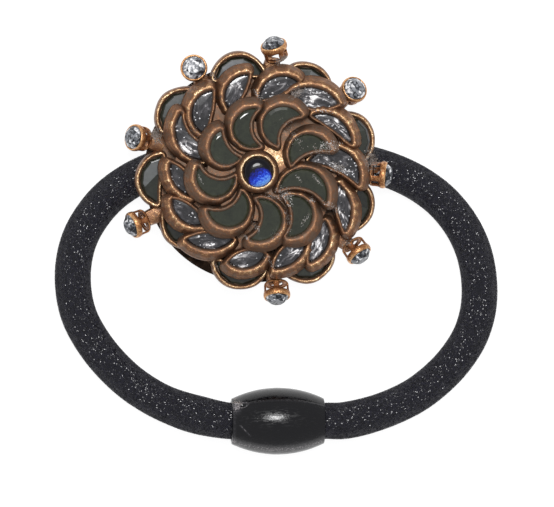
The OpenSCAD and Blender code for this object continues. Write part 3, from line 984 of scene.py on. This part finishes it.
# Middle stones
# Clear glass over silver foil that has creased lengthwise and gone grey at the edges, so
# each shows streaks of light and dark under a wet shine. lie_u and lie_v run along and
# across each stone in mm, so that the creases follow it.
foil, tree, shader = new_finish(
    "creased_silver_foil_under_glass",
    {"Metallic": 0.35, "Coat Weight": 1.0, "Coat Roughness": 0.05, "Coat IOR": 1.5},
)
u, v = (add(tree, "Attribute", attribute_name=n).outputs["Fac"] for n in ("lie_u", "lie_v"))
lie = add(tree, "CombineXYZ", {"X": u, "Y": v})
silver = add(tree, "Attribute", attribute_name="silver").outputs["Fac"]
creases = add(
    tree, "TexNoise",
    {"Vector": add(tree, "Mapping", {"Vector": lie, "Scale": (0.36, 0.85, 1)}),
     "Scale": 1.0, "Detail": 6, "Roughness": 0.62, "Distortion": 2.2},
)
shards = add(
    tree, "TexVoronoi",
    {"Vector": add(tree, "Mapping", {"Vector": lie, "Scale": (1.1, 2.0, 1)}), "Scale": 1.0},
)
shard = add(tree, "SeparateColor", {"Color": shards.outputs["Color"]})
level = add(tree, "MapRange", {"Value": creases, 1: 0.39, 2: 0.63})
level = add(tree, "Math", {0: shard, 1: 0.2, 2: level}, operation="MULTIPLY_ADD")
# Larger areas of the foil have gone dark
blotch = add(
    tree, "TexNoise",
    {"Vector": add(tree, "Mapping", {"Vector": lie, "Scale": (0.3, 0.45, 1)}),
     "Scale": 1.0, "Detail": 2, "Distortion": 0.6},
)
blotch = add(tree, "MapRange", {"Value": blotch, 1: 0.42, 2: 0.58, 3: 0.3, 4: 1.3})
level = add(tree, "Math", {0: level, 1: blotch}, operation="MULTIPLY")
level = add(tree, "Math", {0: level, 1: silver}, operation="MULTIPLY")
tint = add(
    tree, "ValToRGB", {"Fac": level},
    stops=((0.1, "#17161a"), (0.36, "#413f43"), (0.6, "#827f80"), (0.82, "#f6f4f4")),
)
# Painted glints stand for bubbles and grit that catch the light, drawn 0.2 mm across, as fine as
# the render shows
painted_glints = add(tree, "TexVoronoi", {"Vector": lie, "Scale": 5.0})
painted_glints = add(tree, "SeparateColor", {"Color": painted_glints.outputs["Color"]})
painted_glints = add(tree, "MapRange", {"Value": painted_glints, 1: 0.972, 2: 0.98})
tint = add(
    tree, "Mix", {"Factor": painted_glints, "A": tint, "B": (0.8, 0.8, 0.82, 1)}, data_type="RGBA"
)
dull = add(tree, "MapRange", {"Value": level, 1: 0.1, 2: 0.7, 3: 0.55, 4: 0.35})
height = add(tree, "Math", {0: shards, 1: 0.5, 2: creases}, operation="MULTIPLY_ADD")
relief = add(tree, "Bump", {"Height": height, "Distance": 0.2 * mm, "Strength": 0.8})
feed(shader, {"Base Color": tint, "Roughness": dull, "Normal": relief})

# How bright each stone's foil has stayed, and where along it the brightest spot lies
brightness = (
    (0.72, 0.5), (0.68, 0.45), (0.82, 0.5), (0.5, 0.3), (0.5, 0.4), (0.55, 0.4), (0.7, 0.5),
    (0.36, 0.5), (0.38, 0.3), (0.68, 0.5), (0.7, 0.3), (0.66, 0.7), (0.78, 0.5), (0.85, 0.55),
)
for i, (stone, (kept, spot)) in enumerate(zip(middle_stones, brightness)):
    name = f"middle_stone_{i + 1}"
    piece = cut_stone(
        name, stone, ((0, 0, 0.3), (0.4, 0.3, 0)), 24, foil, crease=30, rows=8,
        dome=0.05, lean=random.uniform(-0.03, 0.03, 2),
    )
    lie_u = np.array([point.value for point in piece.data.attributes["lie_u"].data])
    place_u = 0.5 - (lie_u - stone["middle"][0] * 7) / (2 * stone["half"])
    mark(piece.data, "silver", kept * (0.62 + 0.5 * bell((place_u - spot) / 0.22)))

# Inner setting
# Nine cups of the widest rims, turned like the blades of a fan round the middle, on a sheet
# whose bare patch beside the centre is still sand-gold.
shape, inner_stones = tier(
    "inner_stone", 9, (wide_rim, thin_rim), (1.35, 0.74), 0.45, 0.36, 8.0,
    seed=13, bare=(2.6, 2.4, 2.3), wear=2.1,
)
placed(mesh_of("inner_rims", shape, copper, 55), ["inner_setting"])

# Inner stones
# Flat crescents of dark olive glass with a narrow polished bevel, which shows as a glint
# where it turns to the light.
olive, tree, shader = new_finish(
    "dark_olive_glass", {"Roughness": 0.08, "IOR": 1.53, "Coat Weight": 0.3, "Coat Roughness": 0.03}
)
place = add(tree, "TexCoord").outputs["Object"]
haze = add(tree, "TexNoise", {"Vector": place, "Scale": 0.8 / mm, "Detail": 6, "Roughness": 0.75})
shade = add(tree, "Attribute", attribute_name="shade").outputs["Fac"]
level = add(tree, "Math", {0: haze, 1: 0.5, 2: shade}, operation="MULTIPLY_ADD")
tint = add(
    tree, "ValToRGB", {"Fac": level},
    stops=((0.12, "#1a1e16"), (0.38, "#363b2c"), (0.7, "#6c6e6f"), (1.0, "#b3b4b6")),
)
feed(shader, {"Base Color": tint})
# Facets at some tips that mirror the lamp: a point on each one's line and its fall
tips = {2: [(-6.17, 21.22, -4.2, 5.5)], 3: [(-10.41, 17.61, -4.2, 5.5)]}
for i, stone in enumerate(inner_stones):
    loose = random.uniform(0, 0.12, 10)
    cut_stone(
        f"inner_stone_{i + 1}", stone,
        ((0, 0, 0.17 if i in (1, 3) else 0.32), (0.75, 0.4, 0)), 10, olive,
        lean=random.uniform(-0.012, 0.012, 2),
        facets=lambda row, k: loose[k] * (row == 1), corners=tips.get(i, ()),
    )

# Centre setting
# A turned ring with a rounded rim, on a rivet post that goes down through the three tiers
# and the plate and holds them together.
low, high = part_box("centre_setting")
stone_low, stone_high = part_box("centre_stone")
seat, shoulder = stone_low.z / mm - 0.05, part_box("inner_setting")[0].z / mm + sheet_t + 0.05
rim_z = high.z / mm
# Each row: radius, height and rub level, which paints a highlight on the rim's crest and shade in
# its hollows
turned = (
    (0.0, low.z / mm, 0.3), (0.9, low.z / mm, 0.3), (0.9, shoulder, 0.2), (3.3, shoulder, 0.05),
    (3.5, shoulder + 0.15, 0.08), (3.52, rim_z - 1.5, 0.12), (3.44, rim_z - 1.1, 0.18),
    (3.28, rim_z - 0.7, 0.24), (3.08, rim_z - 0.33, 0.36), (2.9, rim_z - 0.09, 0.65),
    (2.72, rim_z + 0.01, 1.0), (2.56, rim_z - 0.02, 0.95), (2.43, rim_z - 0.16, 0.6),
    (2.36, rim_z - 0.34, 0.15),
    (2.45, rim_z - 0.5, 0.05), (2.45, seat, 0.0), (0.0, seat, 0.0),
)
uneven = 0.03 * waver(np.random.default_rng(8), round_cuts)
grid = turned_grid([(r, z + uneven * (z > rim_z - 1)) for r, z, _ in turned], round_cuts, rosette)
shape = bmesh.new()
skin(shape, grid * mm, values={"crest": [[c] * round_cuts for _, _, c in turned]})
placed(mesh_of("centre_rim", shape, copper, 55), ["centre_setting"])

# Centre stone
# A round dome of clear glass over blue foil. Its colour is painted: dark at its top as painted
# shade, and cobalt to sky blue at its lower right as a painted glow of light focused by the dome.
cobalt, tree, shader = new_finish(
    "blue_foil_under_dome",
    {"Roughness": 0.4, "Specular IOR Level": 0.05, "Coat Weight": 0.5, "Coat Roughness": 0.03,
     "Coat IOR": 1.5},
)
place = add(tree, "TexCoord").outputs["Object"]
middle = (rosette[0] * mm, rosette[1] * mm, 0)
centred = add(tree, "VectorMath", {0: place, 1: middle}, operation="SUBTRACT")
# A painted glow of focused light fills a round area that lies below the middle
painted_glow_at = (0.3 * mm, -1.1 * mm, 0)
apart = add(tree, "VectorMath", {0: centred, 1: painted_glow_at}, operation="SUBTRACT")
apart = add(tree, "VectorMath", {0: apart, 1: (1, 1, 0)}, operation="MULTIPLY")
apart = add(tree, "VectorMath", {0: apart}, operation="LENGTH")
inside = add(tree, "MapRange", {"Value": apart, 1: 2.1 * mm, 2: 1.6 * mm})
down = add(tree, "VectorMath", {0: centred, 1: (0.19 / mm, -0.25 / mm, 0)}, operation="DOT_PRODUCT")
mottle = add(tree, "TexNoise", {"Vector": place, "Scale": 3.2 / mm, "Detail": 4, "Roughness": 0.75})
patch = add(tree, "Math", {0: mottle, 1: 0.5}, operation="SUBTRACT")
painted_glow = add(tree, "Math", {0: down, 1: 0.38}, operation="ADD")
painted_glow = add(tree, "Math", {0: patch, 1: 1.5, 2: painted_glow}, operation="MULTIPLY_ADD")
painted_glow = add(tree, "Math", {0: painted_glow, 1: inside}, operation="MULTIPLY")
tint = add(
    tree, "ValToRGB", {"Fac": painted_glow},
    stops=((0.12, "#0a0910"), (0.4, "#151f86"), (0.66, "#1c3fd4"), (1.0, "#6fabff")),
)
feed(shader, {"Base Color": tint})
radius = (stone_high.x - stone_low.x) / 2 / mm
dome_h = (stone_high.z - stone_low.z) / mm
girdle = dome_h * 0.4
profile = [(0.0, 0.0), (radius - 0.05, 0.0), (radius, 0.05), (radius, girdle)]
profile += [
    (radius * q, girdle + (dome_h - girdle) * (1 - 0.12 * q**2 - 0.88 * q**6))
    for q in np.linspace(1, 0, 28)[1:]
]
shape = bmesh.new()
grid = turned_grid([(r, stone_low.z / mm + z) for r, z in profile], round_cuts, rosette)
skin(shape, grid * mm)
placed(mesh_of("centre_dome", shape, cobalt, 50), ["centre_stone"])

# Solder and residue
# Grey granular solder at the cups' stubs and between the tiers, and dried white polish in the
# crevices and in smears on the glass. Each grain lies on whatever carries it.
solder, tree, shader = new_finish(
    "granular_solder_and_polish", {"Metallic": 0.25, "Roughness": 0.45}
)
tone = add(tree, "Attribute", attribute_name="tone").outputs["Fac"]
tint = add(
    tree, "ValToRGB", {"Fac": tone},
    stops=((0.0, "#5d5048"), (0.4, "#8d8178"), (0.75, "#b5aea8"), (1.0, "#e2e0dd")),
)
feed(shader, {"Base Color": tint})

# Each patch: its middle in pixels of the photograph, its half-size along and across, its
# turn in degrees, how many grains, their size in mm and how pale they are. One that is
# longer than sprinkle_from is a thin sprinkle.
sprinkle_from = 40
patches = (
    (286, 60, 10, 4, -10, 420, 0.2, 0.45), (213, 75, 6, 3, 60, 60, 0.16, 0.6),
    (156, 134, 9, 5, 75, 420, 0.2, 0.45), (192, 90, 11, 4, -30, 110, 0.14, 0.2),
    (194, 133, 10, 5, 60, 110, 0.13, 0.25), (297, 93, 8, 5, -40, 220, 0.18, 0.4),
    (322, 111, 12, 1.5, 8, 40, 0.15, 0.9), (292, 133, 16, 5, 60, 120, 0.14, 0.6),
    (328, 147, 16, 6, -20, 260, 0.17, 0.7), (372, 160, 10, 6, 80, 420, 0.2, 0.45),
    (338, 168, 9, 6, 20, 130, 0.16, 0.6), (333, 208, 10, 4, 40, 130, 0.16, 0.6),
    (286, 196, 10, 6, 45, 180, 0.16, 0.85), (273, 196, 10, 2.5, 10, 60, 0.14, 0.8),
    (256, 226, 8, 2.5, 60, 50, 0.14, 0.7), (288, 219, 14, 3, 80, 80, 0.15, 0.6),
    (270, 261, 9, 3, 60, 50, 0.14, 0.7), (216, 266, 6, 2, 60, 40, 0.14, 0.5),
    (347, 243, 7, 4, -40, 90, 0.17, 0.45), (258, 95, 8, 2.5, 45, 60, 0.14, 0.8),
    (246, 237, 3, 1.5, 45, 22, 0.14, 0.9), (200, 178, 6, 1, 65, 40, 0.09, 0.9),
    (317, 180, 7, 1.6, 50, 60, 0.1, 0.8), (299, 179, 4, 1.2, 50, 30, 0.1, 0.8),
    (306, 219, 8, 2, -50, 60, 0.1, 0.7), (312, 200, 4, 3, 0, 60, 0.11, 0.8),
    (276, 235, 8, 5, -40, 50, 0.1, 0.7), (236, 402, 5, 3, 20, 50, 0.16, 0.55),
    (258, 172, 60, 60, 0, 900, 0.11, 0.45),
)
trees = {
    piece.name: BVHTree.FromPolygons(
        [v.co for v in piece.data.vertices], [f.vertices for f in piece.data.polygons]
    )
    for piece in bpy.data.objects
    if piece.type == "MESH" and piece.users_collection and not piece.hide_render
}
eye = camera.matrix_world.translation
random = np.random.default_rng(77)
spots, lies, widths, tones = [], [], [], []
for u, v, long, wide, turned, count, width, shade in patches:
    a = radians(turned)
    along = np.clip(random.normal(0, 0.5, (count, 2)), -1.2, 1.2) * (long, wide)
    for p, q in along:
        right = u + p * cos(a) - q * sin(a) - middle_pixel[0]
        down = middle_pixel[1] - (v + p * sin(a) + q * cos(a))
        seen = Vector((right * pixel_mm, down * pixel_mm, aim_height)) * mm
        way_down = (seen - eye).normalized()
        hits = [(t.ray_cast(eye, way_down), name) for name, t in trees.items()]
        hits = sorted((hit[3], hit[0][:], hit[1][:], name) for hit, name in hits if hit[0])
        # The sprinkle stays in the metalwork, as the glass was wiped
        if not hits or (long > sprinkle_from and not hits[0][3].endswith("rims")):
            continue
        spot, lie = Vector(hits[0][1]), Vector(hits[0][2])
        spots.append(spot)
        lies.append(lie if lie.z > 0 else -lie)
        widths.append(width * random.uniform(0.6, 1.5))
        tones.append(min(1, max(0, shade + random.uniform(-0.35, 0.3))))
grains = marked_points("grain_places", spots, {"lie": lies, "width": widths, "tone": tones})
scatter, given = new_tree("scattered_grains", {"Unit": "Float", "Seed": "Int"})
lie = add(scatter, "InputNamedAttribute", {"Name": "lie"}, data_type="FLOAT_VECTOR")
facing = add(scatter, "AlignRotationToVector", {"Vector": lie}, axis="Z")
spun = add(
    scatter, "RandomValue",
    {"Min": (-0.5, -0.5, 0), "Max": (0.5, 0.5, 6.3), "Seed": given["Seed"]},
    data_type="FLOAT_VECTOR",
)
spun = add(scatter, "EulerToRotation", {"Euler": spun})
facing = add(
    scatter, "RotateRotation", {"Rotation": facing, "Rotate By": spun}, rotation_space="LOCAL"
)
squeezed = add(
    scatter, "RandomValue",
    {"Min": (0.7, 0.5, 0.35), "Max": (1.2, 1.0, 0.7), "Seed": given["Seed"]},
    data_type="FLOAT_VECTOR",
)
width = add(scatter, "InputNamedAttribute", {"Name": "width"})
width = add(scatter, "Math", {0: width, 1: given["Unit"]}, operation="MULTIPLY")
size = add(scatter, "VectorMath", {"Vector": squeezed, "Scale": width}, operation="SCALE")
lump = add(scatter, "MeshIcoSphere", {"Radius": 0.5, "Subdivisions": 1})
copies = add(
    scatter, "InstanceOnPoints",
    {"Points": given["Geometry"], "Instance": lump, "Rotation": facing, "Scale": size},
)
end_tree(scatter, copies, solder)
placed(grown("solder_and_residue", grains, scatter, {"Unit": mm, "Seed": 6}))

# Floor and lights
# A pale matt table that glows softly from below, as a light table does, a small soft lamp over
# the far side with a wider, fainter one round it, and pale surroundings.
table_finish, _, _ = new_finish(
    "pale_matt_table",
    {"Base Color": paint("#808080"), "Roughness": 0.9, "Specular IOR Level": 0.1,
     "Emission Color": paint("#ffffff"), "Emission Strength": 0.92},
)
table_half = 3
shape = bmesh.new()
bmesh.ops.create_grid(shape, x_segments=2, y_segments=2, size=table_half)
shown("table", mesh_of("table", shape, table_finish))
# Each lamp: its name, the way to it from the tie, its distance and width in metres, and watts
for name, way_to, distance, width, watts in (
    ("key", (-0.02, 0.27, 0.96), 0.5, 0.14, 1.0), ("halo", (-0.02, 0.29, 0.96), 0.52, 0.24, 0.25)
):
    data = bpy.data.lights.new(name, "AREA")
    data.shape, data.size, data.size_y, data.energy = "ELLIPSE", width, width, watts
    lamp = shown(name, data)
    toward_lamp = Vector(way_to).normalized()
    lamp.location = aim + toward_lamp * distance
    lamp.rotation_mode = "QUATERNION"
    lamp.rotation_quaternion = toward_lamp.to_track_quat("Z", "Y")
world = bpy.data.worlds.new("studio")
world.use_nodes = True
world.node_tree.nodes["Background"].inputs["Color"].default_value = (0.5, 0.5, 0.515, 1)
bpy.context.scene.world = world
bpy.context.scene.view_settings.view_transform = "Standard"
